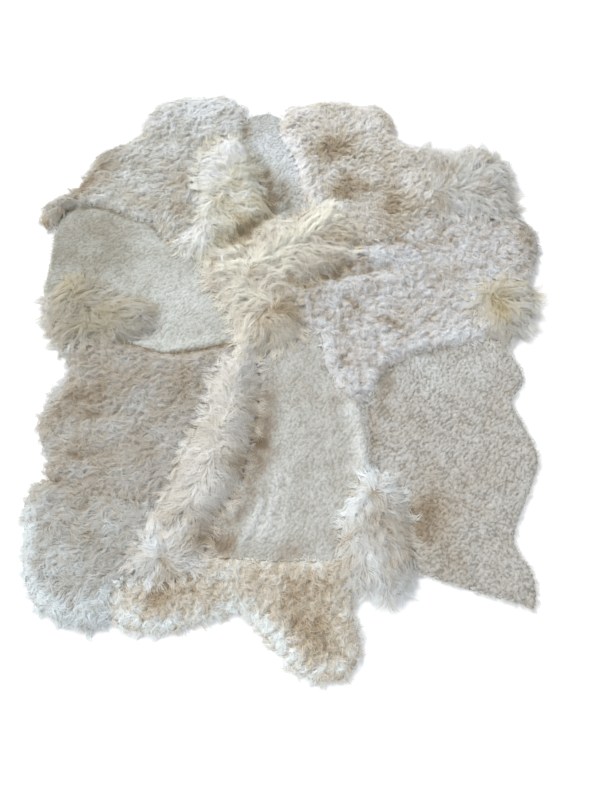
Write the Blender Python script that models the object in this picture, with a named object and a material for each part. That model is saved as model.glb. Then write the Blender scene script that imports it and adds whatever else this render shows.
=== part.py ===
"""Patchwork rug sewn from eighteen pieces of sheepskin, lying on a floor.

The pieces meet edge to edge. Each one is a single solid of hide and pile together: flat
below except under the folds, lumpy above, and with pointed locks of wool at the rug's rim.
"""

import math
from collections import namedtuple

import bmesh
import bpy
import numpy as np
from mathutils import Vector, geometry, noise

# Driving dimensions, in metres: the gap between sewn pieces, the length of an outline's sides
# along a seam and along a fold's crest, and the lift that still counts as flat on the floor
MM = 0.001
SEAM_GAP = 0.0003
SEAM_STEP = 0.030
FLAT_LIFT = 0.0004

# Where three pieces meet, or two meet at the rim, in millimetres to the right of the rug's
# middle and up towards its head
CORNERS = {
    "side_tip": (-795, 430), "head_left": (-160, 900), "head_mid": (-25, 895),
    "head_right": (440, 750), "shoulder": (795, 450), "flank_high": (795, 185),
    "flank_low": (690, -20), "foot_right": (355, -720), "foot_mid": (185, -750),
    "foot_left": (-480, -835), "side_low": (-695, -465), "side_mid": (-715, -45),
    "side_high": (-785, 135), "neck": (-170, 785), "elbow": (-395, 335), "fork": (-280, 260),
    "notch": (-25, 430), "throat": (85, 480), "crook": (235, 355), "collar": (485, 470),
    "hip": (640, -10), "point": (225, -245), "saddle": (50, 45), "waist": (-160, -20),
    "belt": (-150, -60), "buckle": (-105, -70), "pocket": (-515, -25), "bend": (-365, -555),
    "ankle": (-390, -625), "heel": (-225, -640), "toe": (-230, -685), "cuff": (-405, -735),
    "hem": (160, -695), "crown": (240, -440),
}

# The rim from corner to corner: its two ends, and the points that it passes between them
RIM = {
    ("side_tip", "head_left"): (
        (-830, 410), (-850, 460), (-820, 520), (-745, 570), (-700, 665), (-670, 730),
        (-580, 780), (-535, 825), (-530, 885), (-485, 950), (-410, 985), (-295, 990),
        (-265, 1000), (-180, 950)),
    ("head_left", "head_mid"): ((-130, 910), (-75, 920)),
    ("head_mid", "head_right"): (
        (5, 940), (65, 945), (170, 970), (275, 940), (325, 950), (390, 855), (375, 815)),
    ("head_right", "shoulder"): (
        (490, 745), (570, 715), (645, 740), (700, 735), (755, 695), (780, 620), (770, 535)),
    ("shoulder", "flank_high"): ((835, 405), (845, 335), (820, 240)),
    ("flank_high", "flank_low"): ((800, 125), (785, 55), (735, 0)),
    ("flank_low", "foot_right"): (
        (740, -140), (695, -220), (720, -295), (750, -395), (720, -485), (650, -635),
        (690, -730), (685, -820), (640, -810), (465, -760)),
    ("foot_right", "foot_mid"): ((340, -760), (300, -795), (240, -780)),
    ("foot_mid", "foot_left"): (
        (185, -840), (200, -915), (190, -960), (145, -1000), (50, -990), (-60, -890),
        (-125, -835), (-255, -865), (-345, -885), (-435, -870)),
    ("foot_left", "side_low"): (
        (-490, -865), (-540, -875), (-670, -825), (-730, -720), (-745, -600), (-755, -545),
        (-735, -490)),
    ("side_low", "side_mid"): (
        (-710, -435), (-705, -405), (-745, -325), (-740, -245), (-715, -180), (-680, -125)),
    ("side_mid", "side_high"): ((-745, 15), (-770, 80)),
    ("side_high", "side_tip"): ((-805, 165), (-800, 245), (-800, 375)),
}

# The sewn seams, in the same columns
SEAMS = {
    ("side_tip", "elbow"): ((-755, 495), (-655, 505), (-525, 450), (-460, 435), (-425, 380)),
    ("head_left", "neck"): ((-140, 840),),
    ("neck", "elbow"): ((-290, 740), (-320, 605), (-305, 455), (-345, 375)),
    ("elbow", "fork"): ((-335, 300),),
    ("neck", "notch"): ((-120, 670), (-90, 540)),
    ("notch", "fork"): ((-95, 370), (-210, 290)),
    ("notch", "throat"): ((35, 445),),
    ("head_mid", "throat"): ((-30, 805), (25, 695), (50, 560)),
    ("throat", "crook"): ((165, 470), (220, 415)),
    ("crook", "collar"): ((305, 355), (385, 370), (440, 415)),
    ("head_right", "collar"): ((475, 655), (500, 540)),
    ("collar", "shoulder"): ((575, 455), (695, 445)),
    ("flank_high", "hip"): ((715, 205), (625, 180), (590, 95)),
    ("hip", "flank_low"): (),
    ("hip", "point"): ((530, -40), (435, -55), (330, -100), (265, -180)),
    ("point", "saddle"): ((175, -200), (120, -95), (105, 10)),
    ("crook", "saddle"): ((190, 255), (60, 195), (30, 125)),
    ("saddle", "buckle"): ((10, -25),),
    ("fork", "waist"): ((-265, 180), (-190, 90)),
    ("waist", "belt"): (),
    ("belt", "buckle"): (),
    ("waist", "pocket"): ((-275, -50), (-385, -65)),
    ("pocket", "side_high"): ((-430, 15), (-445, 105), (-575, 150), (-645, 200), (-720, 215)),
    ("pocket", "side_mid"): ((-620, -25),),
    ("belt", "bend"): ((-225, -140), (-240, -255), (-300, -380), (-335, -500)),
    ("side_low", "bend"): ((-600, -485), (-480, -525)),
    ("bend", "ankle"): (),
    ("ankle", "heel"): ((-315, -615),),
    ("buckle", "heel"): ((-85, -170), (-105, -315), (-140, -470), (-210, -580)),
    ("heel", "toe"): (),
    ("ankle", "cuff"): ((-430, -685),),
    ("cuff", "toe"): ((-340, -755), (-265, -730)),
    ("cuff", "foot_left"): ((-475, -770),),
    ("toe", "hem"): ((-100, -695), (40, -700)),
    ("hem", "foot_mid"): (),
    ("hem", "crown"): ((160, -625), (190, -525)),
    ("point", "crown"): ((240, -350),),
    ("crown", "foot_right"): ((320, -470), (350, -585)),
}

# Wool by kind: how lumpy it is as a share of the pile, the length of its locks at the rim,
# how far apart they stand, and the spacing of the points that shape its top
Wool = namedtuple("Wool", "lumps lock lock_step grid")
WOOL = {
    "shorn": Wool(0.12, 0, 0.028, 0.036),
    "curled": Wool(0.30, 0.012, 0.024, 0.030),
    "fleece": Wool(0.28, 0.013, 0.024, 0.030),
    "long": Wool(0.28, 0.034, 0.014, 0.026),
}

# The pieces: kind of wool, depth of hide and pile, colour, and corners in order
Skin = namedtuple("Skin", "kind depth colour corners")
SKINS = {
    "fleece_head_left": Skin("fleece", 0.032, (0.62, 0.56, 0.46),
        ("side_tip", "head_left", "neck", "elbow")),
    "long_head": Skin("long", 0.054, (0.72, 0.68, 0.54), ("neck", "notch", "fork", "elbow")),
    "shorn_head": Skin("shorn", 0.014, (0.66, 0.64, 0.57),
        ("head_left", "head_mid", "throat", "notch", "neck")),
    "fleece_head_right": Skin("fleece", 0.042, (0.66, 0.58, 0.46),
        ("head_mid", "head_right", "collar", "crook", "throat")),
    "long_shoulder": Skin("long", 0.050, (0.66, 0.64, 0.58), ("head_right", "shoulder", "collar")),
    "curled_right": Skin("curled", 0.032, (0.70, 0.67, 0.60),
        ("collar", "shoulder", "flank_high", "hip", "point", "saddle", "crook")),
    "long_flank_right": Skin("long", 0.054, (0.68, 0.62, 0.46),
        ("flank_high", "flank_low", "hip")),
    "shorn_right": Skin("shorn", 0.015, (0.62, 0.58, 0.48),
        ("hip", "flank_low", "foot_right", "crown", "point")),
    "long_foot": Skin("long", 0.062, (0.70, 0.66, 0.56),
        ("crown", "foot_right", "foot_mid", "hem")),
    "shorn_centre": Skin("shorn", 0.014, (0.62, 0.58, 0.50),
        ("saddle", "point", "crown", "hem", "toe", "heel", "buckle")),
    "shorn_left": Skin("shorn", 0.013, (0.62, 0.60, 0.52),
        ("side_tip", "elbow", "fork", "waist", "pocket", "side_high")),
    "long_centre": Skin("long", 0.058, (0.72, 0.66, 0.50),
        ("fork", "notch", "throat", "crook", "saddle", "buckle", "belt", "waist")),
    "long_flank_left": Skin("long", 0.046, (0.60, 0.56, 0.44),
        ("side_high", "pocket", "side_mid")),
    "fleece_left": Skin("fleece", 0.036, (0.60, 0.54, 0.45),
        ("side_mid", "pocket", "waist", "belt", "bend", "side_low")),
    "long_strip": Skin("long", 0.054, (0.68, 0.64, 0.54),
        ("belt", "buckle", "heel", "ankle", "bend")),
    "long_rosette": Skin("long", 0.050, (0.68, 0.66, 0.60), ("ankle", "heel", "toe", "cuff")),
    "fleece_foot_left": Skin("fleece", 0.038, (0.60, 0.55, 0.48),
        ("side_low", "bend", "ankle", "cuff", "foot_left")),
    "curled_foot": Skin("curled", 0.030, (0.66, 0.54, 0.38),
        ("cuff", "toe", "hem", "foot_mid", "foot_left")),
}

# Folds that lift the hide off the floor: points along the crest, height, half width
Fold = namedtuple("Fold", "crest height half_width")
FOLDS = (
    Fold(((175, -175), (220, -285), (235, -395), (190, -585)), 0.020, 0.042),
    Fold(((120, -195), (155, -380)), 0.007, 0.024),
    Fold(((-155, -525), (-100, -655)), 0.008, 0.026),
    Fold(((-485, -40), (-385, -65), (-195, -20)), 0.010, 0.030),
    Fold(((190, 270), (365, 295)), 0.012, 0.040),
    Fold(((40, 155), (205, 170), (405, 215)), 0.009, 0.036),
)

# Loose corners, where a piece's edge curls up off the floor
Curl = namedtuple("Curl", "place height radius")
CURLS = {"fleece_head_left": Curl((-795, 480), 0.017, 0.085)}

# The pile's share of its depth at the rim and along a seam, how many depths in it is full,
# and how far inside the outline the first ring of points lies
RIM_SHARE = 0.50
SEAM_SHARE = 0.78
RISE_DEPTHS = 1.2
RIM_RING = 0.011

# Lumps of the pile, broad and fine: how many there are to a metre, and how much each counts
LUMPS = ((21, 0.8), (47, 0.7))

# Locks at the rim: how much their length varies and they lean aside, as shares of it; how much
# a hollow of the rim shortens them, and how many lengths from a seam they are whole; the least
# share of the length that is left; and the height of the tips as a share of the pile's depth
LOCK_VARIES = 0.9
LOCK_LEANS = 0.35
HOLLOW_SHORTENS = 1.6
SEAM_LENGTHS = 2.4
LEAST_LOCK = 0.1
TIP_SHARE = 0.12
LOCKS_TO_A_METRE = 90


def clear_scene():
    for thing in list(bpy.data.objects):
        bpy.data.objects.remove(thing, do_unlink=True)


def place(point):
    """A point of the pattern, in metres."""
    return MM * np.array(point, float)


def smooth_line(points, step):
    """A Catmull-Rom curve through the points, cut into equal lengths of about one step."""
    points = np.array(points)
    ends = np.vstack((2 * points[0] - points[1], points, 2 * points[-1] - points[-2]))
    t = np.linspace(0, 1, 24, endpoint=False)[:, None]
    runs = []
    for a, b, c, d in zip(ends, ends[1:], ends[2:], ends[3:]):
        bend = (2 * a - 5 * b + 4 * c - d) * t**2 + (3 * b - a - 3 * c + d) * t**3
        runs.append(b + 0.5 * ((c - a) * t + bend))
    fine = np.vstack((*runs, points[-1:]))
    along = np.append(0, np.cumsum(np.linalg.norm(np.diff(fine, axis=0), axis=1)))
    at = np.linspace(0, along[-1], max(2, round(along[-1] / step) + 1))
    return np.stack([np.interp(at, along, fine[:, axis]) for axis in (0, 1)], axis=1)


def depths_on_edges():
    """For each edge of the pattern, the depths of the pieces on it: one at the rim, two on a seam."""
    depths = {}
    for skin in SKINS.values():
        for edge in zip(skin.corners, skin.corners[1:] + skin.corners[:1]):
            depths.setdefault(frozenset(edge), []).append(skin.depth)
    return depths


def edge_line(start, end, rim_step):
    """The line from one corner to the next."""
    for table, step in ((RIM, rim_step), (SEAMS, SEAM_STEP)):
        for key in ((start, end), (end, start)):
            if key in table:
                points = (CORNERS[key[0]], *table[key], CORNERS[key[1]])
                line = smooth_line([place(point) for point in points], step)
                return line if key[0] == start else line[::-1]
    raise ValueError(f"no edge runs from {start} to {end}")


def outline(skin):
    """A piece's outline, anticlockwise, and for each side of it two things: the depth of the
    pile there, and whether the side is on the rim."""
    edge_depths = depths_on_edges()
    points, levels, on_rim = [], [], []
    for start, end in zip(skin.corners, skin.corners[1:] + skin.corners[:1]):
        line = edge_line(start, end, WOOL[skin.kind].lock_step)
        depths = edge_depths[frozenset((start, end))]
        is_rim = len(depths) == 1
        seam_level = SEAM_SHARE * min(skin.depth, sum(depths) / 2)
        level = RIM_SHARE * skin.depth if is_rim else seam_level
        points.extend(line[:-1])
        levels.extend([level] * (len(line) - 1))
        on_rim.extend([is_rim] * (len(line) - 1))
    points, levels, on_rim = np.array(points), np.array(levels), np.array(on_rim)
    after = np.roll(points, -1, axis=0)
    if (points[:, 0] * after[:, 1] - points[:, 1] * after[:, 0]).sum() < 0:
        points = points[::-1]
        levels, on_rim = np.roll(levels[::-1], -1), np.roll(on_rim[::-1], -1)
    return points, levels, on_rim


def outward(points):
    """At each point of an outline, the outward direction, longer where the outline turns."""
    before, after = points - np.roll(points, 1, axis=0), np.roll(points, -1, axis=0) - points
    sides = [np.stack((d[:, 1], -d[:, 0]), axis=1) for d in (before, after)]
    first, second = [s / np.linalg.norm(s, axis=1, keepdims=True) for s in sides]
    middle = first + second
    middle /= np.linalg.norm(middle, axis=1, keepdims=True)
    return middle / np.clip((middle * first).sum(axis=1), 0.5, 1)[:, None]


def distance_to(points, starts, ends):
    """The distance from each point to the nearest of some straight sides."""
    if not len(starts):
        return np.full(len(points), np.inf)
    run = ends - starts
    away = points[:, None] - starts
    share = np.clip((away * run).sum(axis=2) / (run**2).sum(axis=1), 0, 1)
    return np.linalg.norm(away - share[..., None] * run, axis=2).min(axis=1)


def is_inside(points, loop):
    """Whether each point is inside a closed loop, by counting crossings."""
    x, y = points[:, 0, None], points[:, 1, None]
    ax, ay = loop.T
    bx, by = np.roll(loop, -1, axis=0).T
    crosses = (ay > y) != (by > y)
    reach = (bx - ax) * (y - ay) / np.where(by == ay, 1, by - ay) + ax
    return (crosses & (x < reach)).sum(axis=1) % 2 == 1


def inner_points(loop, spacing):
    """Points in rows, every other row shifted by half, clear of the outline and its ring."""
    low, high = loop.min(axis=0), loop.max(axis=0)
    row_gap = spacing * math.sqrt(3) / 2
    rows = []
    for number, y in enumerate(np.arange(low[1], high[1], row_gap)):
        x = np.arange(low[0] + (number % 2) * spacing / 2, high[0], spacing)
        rows.append(np.stack((x, np.full(len(x), y)), axis=1))
    points = np.vstack(rows)
    points = points[is_inside(points, loop)]
    clear = distance_to(points, loop, np.roll(loop, -1, axis=0))
    return points[clear > RIM_RING + 0.5 * spacing]


def rim_ring(loop, others, spacing):
    """Points a little inside the outline, kept apart from each other."""
    candidates = loop - RIM_RING * outward(loop)
    candidates = candidates[is_inside(candidates, loop)]
    clear = distance_to(candidates, loop, np.roll(loop, -1, axis=0))
    kept = []
    for point in candidates[clear > 0.8 * RIM_RING]:
        if not kept or np.linalg.norm(np.array(kept) - point, axis=1).min() > 0.45 * spacing:
            kept.append(point)
    return np.vstack((kept, others)) if len(others) else np.array(kept)


def cosine_bump(distance, half_width):
    """1 on the crest, 0 from half_width away, level at both."""
    return 0.5 * (1 + np.cos(math.pi * np.clip(distance / half_width, 0, 1)))


def hide_lift(name, points):
    """How far the folds and the curled corner lift the hide off the floor."""
    lift = np.zeros(len(points))
    for fold in FOLDS:
        crest = smooth_line([place(point) for point in fold.crest], SEAM_STEP)
        distance = distance_to(points, crest[:-1], crest[1:])
        lift = np.maximum(lift, fold.height * cosine_bump(distance, fold.half_width))
    if name in CURLS:
        curl = CURLS[name]
        distance = np.linalg.norm(points - place(curl.place), axis=1)
        lift = np.maximum(lift, curl.height * cosine_bump(distance, curl.radius))
    return np.where(lift < FLAT_LIFT, 0, lift)


def noise_at(points, count, layer):
    """A smooth random value at each point, from -1 to 1, with so many lumps to a metre."""
    return np.array([noise.noise((x * count, y * count, layer)) for x, y in points])


def pile_top(points, depth, lumps, loop, levels):
    """The pile's depth: thin at the rim, thicker along a seam, lumpy in the middle."""
    ends = np.roll(loop, -1, axis=0)
    top = np.full(len(points), depth)
    for level in np.unique(levels):
        distance = distance_to(points, loop[levels == level], ends[levels == level])
        rise = np.sin(0.5 * math.pi * np.clip(distance / (RISE_DEPTHS * depth), 0, 1))
        top = np.minimum(top, level + (depth - level) * rise)
    uneven = sum(share * noise_at(points, count, 0) for count, share in LUMPS)
    return top * (1 + lumps * uneven)


def lock_tips(loop, on_rim, length, depth):
    """For each side of the outline, where the lock that grows from it ends."""
    ahead = np.roll(loop, -1, axis=0)
    middle = 0.5 * (loop + ahead)
    along = (ahead - loop) / np.linalg.norm(ahead - loop, axis=1, keepdims=True)
    away = np.stack((along[:, 1], -along[:, 0]), axis=1)
    before, after = np.roll(away, 2, axis=0), np.roll(away, -2, axis=0)
    bulge = before[:, 0] * after[:, 1] - before[:, 1] * after[:, 0]
    to_seam = distance_to(middle, loop[~on_rim], ahead[~on_rim]) / (SEAM_LENGTHS * length)
    whole = np.clip(1 + HOLLOW_SHORTENS * bulge, 0, 1) * np.clip(to_seam, 0, 1)
    reach = length * (1 + LOCK_VARIES * noise_at(middle, LOCKS_TO_A_METRE, 1))
    reach *= np.clip(whole, LEAST_LOCK, 1)
    aside = LOCK_LEANS * reach * noise_at(middle, LOCKS_TO_A_METRE, 2)
    tips = middle + away * reach[:, None] + along * aside[:, None]
    return np.column_stack((tips, np.full(len(tips), TIP_SHARE * depth)))


def grow_locks(work, floor_points, tips, on_rim):
    """Turns each wall face of the rim into a pointed lock of four sides."""
    for index in np.flatnonzero(on_rim):
        side = work.edges.get((floor_points[index], floor_points[(index + 1) % len(tips)]))
        wall = max(side.link_faces, key=lambda face: face.calc_center_median().z)
        made = bmesh.ops.poke(work, faces=[wall])
        made["verts"][0].co = Vector(tips[index])


def flatten_below(work):
    """Joins the small level faces of the underside into large ones."""
    level = [f for f in work.faces if all(v.co.z == 0 for v in f.verts)]
    edges = {edge for face in level for edge in face.edges}
    verts = {vert for face in level for vert in face.verts}
    bmesh.ops.dissolve_limit(
        work, angle_limit=math.radians(0.1), verts=list(verts), edges=list(edges))


def wool_material(name, colour):
    made = bpy.data.materials.new(name + "_wool")
    made.use_nodes = True
    shader = made.node_tree.nodes["Principled BSDF"]
    shader.inputs["Base Color"].default_value = (*colour, 1)
    shader.inputs["Roughness"].default_value = 0.95
    shader.inputs["Metallic"].default_value = 0.0
    return made


def make_skin(name, skin):
    """One piece: its flat outline filled with triangles, extruded, shaped above and below."""
    wool = WOOL[skin.kind]
    loop, levels, on_rim = outline(skin)
    loop = loop - 0.5 * SEAM_GAP * outward(loop)
    inside = rim_ring(loop, inner_points(loop, wool.grid), wool.grid)
    points = [Vector(point) for point in np.vstack((loop, inside))]
    flat = geometry.delaunay_2d_cdt(points, [], [list(range(len(loop)))], 1, 1e-6)
    work = bmesh.new()
    floor_points = [work.verts.new((point.x, point.y, 0)) for point in flat[0]]
    for corner_indices in flat[2]:
        work.faces.new([floor_points[index] for index in corner_indices])
    raised = bmesh.ops.extrude_face_region(work, geom=list(work.faces))["geom"]
    raised = [part for part in raised if isinstance(part, bmesh.types.BMVert)]
    plan = np.array([vert.co.xy for vert in raised])
    tops = hide_lift(name, plan) + pile_top(plan, skin.depth, wool.lumps, loop, levels)
    for vert, top in zip(raised, tops):
        vert.co.z = top
    below = hide_lift(name, np.array([vert.co.xy for vert in floor_points]))
    for vert, lift in zip(floor_points, below):
        vert.co.z = lift
    if wool.lock:
        grow_locks(work, floor_points, lock_tips(loop, on_rim, wool.lock, skin.depth), on_rim)
    flatten_below(work)
    bmesh.ops.recalc_face_normals(work, faces=list(work.faces))
    mesh = bpy.data.meshes.new(name)
    work.to_mesh(mesh)
    work.free()
    mesh.materials.append(wool_material(name, skin.colour))
    return bpy.data.objects.new(name, mesh)


def centre(pieces):
    """Places the pieces so that the middle of the rug's underside is the origin."""
    corners = np.array([vert.co for piece in pieces for vert in piece.data.vertices])
    middle = 0.5 * (corners.min(axis=0) + corners.max(axis=0))
    for piece in pieces:
        piece.location = (-middle[0], -middle[1], 0)


def main():
    clear_scene()
    rug = bpy.data.collections.new("patchwork_rug")
    bpy.context.scene.collection.children.link(rug)
    pieces = [make_skin(name, skin) for name, skin in SKINS.items()]
    for piece in pieces:
        rug.objects.link(piece)
    centre(pieces)


main()
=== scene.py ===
"""Looks of a patchwork sheepskin rug on a floor: hides, wool, light and camera.

Every piece of wool is worked out as whole arrays: surfaces on a square grid cut to a piece's
outline, and locks as flat ribbons carried along wavy paths that follow the way the wool lies.
"""

import math
from collections import namedtuple

import bpy
import numpy as np
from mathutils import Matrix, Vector


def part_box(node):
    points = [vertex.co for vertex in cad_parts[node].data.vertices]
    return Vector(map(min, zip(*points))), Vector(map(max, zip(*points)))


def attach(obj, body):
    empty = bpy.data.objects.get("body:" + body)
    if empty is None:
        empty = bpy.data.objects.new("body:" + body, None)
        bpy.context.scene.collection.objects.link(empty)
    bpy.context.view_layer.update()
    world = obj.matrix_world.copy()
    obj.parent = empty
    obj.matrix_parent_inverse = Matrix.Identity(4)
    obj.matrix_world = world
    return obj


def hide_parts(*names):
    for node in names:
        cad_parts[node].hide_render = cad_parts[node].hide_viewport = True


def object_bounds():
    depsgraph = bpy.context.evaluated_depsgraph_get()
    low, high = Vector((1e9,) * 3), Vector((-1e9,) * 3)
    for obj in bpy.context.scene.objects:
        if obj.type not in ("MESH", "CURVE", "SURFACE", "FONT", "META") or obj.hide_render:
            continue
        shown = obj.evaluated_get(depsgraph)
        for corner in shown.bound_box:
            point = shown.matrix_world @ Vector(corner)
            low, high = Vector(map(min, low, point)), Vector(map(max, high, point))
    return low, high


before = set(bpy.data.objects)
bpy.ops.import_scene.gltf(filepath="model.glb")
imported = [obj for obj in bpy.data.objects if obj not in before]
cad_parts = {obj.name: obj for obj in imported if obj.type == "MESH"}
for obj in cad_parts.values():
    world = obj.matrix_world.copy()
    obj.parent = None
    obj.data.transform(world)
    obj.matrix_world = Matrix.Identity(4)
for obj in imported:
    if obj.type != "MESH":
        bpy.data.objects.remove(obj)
packed_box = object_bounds()

# Lengths are in metres, and the pattern's tables in millimetres
MM = 0.001
SEAM_GAP = 0.0003          # between neighbouring pieces
OUTLINE_STEP = 0.012       # between the points of an outline
MAP_PITCH = 0.006          # between the cells of the height maps
MAP_MARGIN = 0.06          # of the maps round the rug
BATCH = 8192               # points worked out at a time, to save memory
FLOOR_LEVEL = -0.0004
HIDE_LIFT = 0.0002         # how far a hide stays off its solid's underside
HIDE_THICKNESS = 0.0016
HIDE_GRID = 0.025

# Where three pieces meet, or two meet at the rim, to the right of the rug's middle and up
# towards its head
CORNERS = {
    "side_tip": (-795, 430), "head_left": (-160, 900), "head_mid": (-25, 895),
    "head_right": (440, 750), "shoulder": (795, 450), "flank_high": (795, 185),
    "flank_low": (690, -20), "foot_right": (355, -720), "foot_mid": (185, -750),
    "foot_left": (-480, -835), "side_low": (-695, -465), "side_mid": (-715, -45),
    "side_high": (-785, 135), "neck": (-170, 785), "elbow": (-395, 335), "fork": (-280, 260),
    "notch": (-25, 430), "throat": (85, 480), "crook": (235, 355), "collar": (485, 470),
    "hip": (640, -10), "point": (225, -245), "saddle": (50, 45), "waist": (-160, -20),
    "belt": (-150, -60), "buckle": (-105, -70), "pocket": (-515, -25), "bend": (-365, -555),
    "ankle": (-390, -625), "heel": (-225, -640), "toe": (-230, -685), "cuff": (-405, -735),
    "hem": (160, -695), "crown": (240, -440),
}

# The rim from corner to corner: its two ends, and the points that it passes between them
RIM = {
    ("side_tip", "head_left"): (
        (-830, 410), (-850, 460), (-820, 520), (-745, 570), (-700, 665), (-670, 730),
        (-580, 780), (-535, 825), (-530, 885), (-485, 950), (-410, 985), (-295, 990),
        (-265, 1000), (-180, 950)),
    ("head_left", "head_mid"): ((-130, 910), (-75, 920)),
    ("head_mid", "head_right"): (
        (5, 940), (65, 945), (170, 970), (275, 940), (325, 950), (390, 855), (375, 815)),
    ("head_right", "shoulder"): (
        (490, 745), (570, 715), (645, 740), (700, 735), (755, 695), (780, 620), (770, 535)),
    ("shoulder", "flank_high"): ((835, 405), (845, 335), (820, 240)),
    ("flank_high", "flank_low"): ((800, 125), (785, 55), (735, 0)),
    ("flank_low", "foot_right"): (
        (740, -140), (695, -220), (720, -295), (750, -395), (720, -485), (650, -635),
        (690, -730), (685, -820), (640, -810), (465, -760)),
    ("foot_right", "foot_mid"): ((340, -760), (300, -795), (240, -780)),
    ("foot_mid", "foot_left"): (
        (185, -840), (200, -915), (190, -960), (145, -1000), (50, -990), (-60, -890),
        (-125, -835), (-255, -865), (-345, -885), (-435, -870)),
    ("foot_left", "side_low"): (
        (-490, -865), (-540, -875), (-670, -825), (-730, -720), (-745, -600), (-755, -545),
        (-735, -490)),
    ("side_low", "side_mid"): (
        (-710, -435), (-705, -405), (-745, -325), (-740, -245), (-715, -180), (-680, -125)),
    ("side_mid", "side_high"): ((-745, 15), (-770, 80)),
    ("side_high", "side_tip"): ((-805, 165), (-800, 245), (-800, 375)),
}

# The sewn seams, in the same columns
SEAMS = {
    ("side_tip", "elbow"): ((-755, 495), (-655, 505), (-525, 450), (-460, 435), (-425, 380)),
    ("head_left", "neck"): ((-140, 840),),
    ("neck", "elbow"): ((-290, 740), (-320, 605), (-305, 455), (-345, 375)),
    ("elbow", "fork"): ((-335, 300),),
    ("neck", "notch"): ((-120, 670), (-90, 540)),
    ("notch", "fork"): ((-95, 370), (-210, 290)),
    ("notch", "throat"): ((35, 445),),
    ("head_mid", "throat"): ((-30, 805), (25, 695), (50, 560)),
    ("throat", "crook"): ((165, 470), (220, 415)),
    ("crook", "collar"): ((305, 355), (385, 370), (440, 415)),
    ("head_right", "collar"): ((475, 655), (500, 540)),
    ("collar", "shoulder"): ((575, 455), (695, 445)),
    ("flank_high", "hip"): ((715, 205), (625, 180), (590, 95)),
    ("hip", "flank_low"): (),
    ("hip", "point"): ((530, -40), (435, -55), (330, -100), (265, -180)),
    ("point", "saddle"): ((175, -200), (120, -95), (105, 10)),
    ("crook", "saddle"): ((190, 255), (60, 195), (30, 125)),
    ("saddle", "buckle"): ((10, -25),),
    ("fork", "waist"): ((-265, 180), (-190, 90)),
    ("waist", "belt"): (),
    ("belt", "buckle"): (),
    ("waist", "pocket"): ((-275, -50), (-385, -65)),
    ("pocket", "side_high"): ((-430, 15), (-445, 105), (-575, 150), (-645, 200), (-720, 215)),
    ("pocket", "side_mid"): ((-620, -25),),
    ("belt", "bend"): ((-225, -140), (-240, -255), (-300, -380), (-335, -500)),
    ("side_low", "bend"): ((-600, -485), (-480, -525)),
    ("bend", "ankle"): (),
    ("ankle", "heel"): ((-315, -615),),
    ("buckle", "heel"): ((-85, -170), (-105, -315), (-140, -470), (-210, -580)),
    ("heel", "toe"): (),
    ("ankle", "cuff"): ((-430, -685),),
    ("cuff", "toe"): ((-340, -755), (-265, -730)),
    ("cuff", "foot_left"): ((-475, -770),),
    ("toe", "hem"): ((-100, -695), (40, -700)),
    ("hem", "foot_mid"): (),
    ("hem", "crown"): ((160, -625), (190, -525)),
    ("point", "crown"): ((240, -350),),
    ("crown", "foot_right"): ((320, -470), (350, -585)),
}

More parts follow.
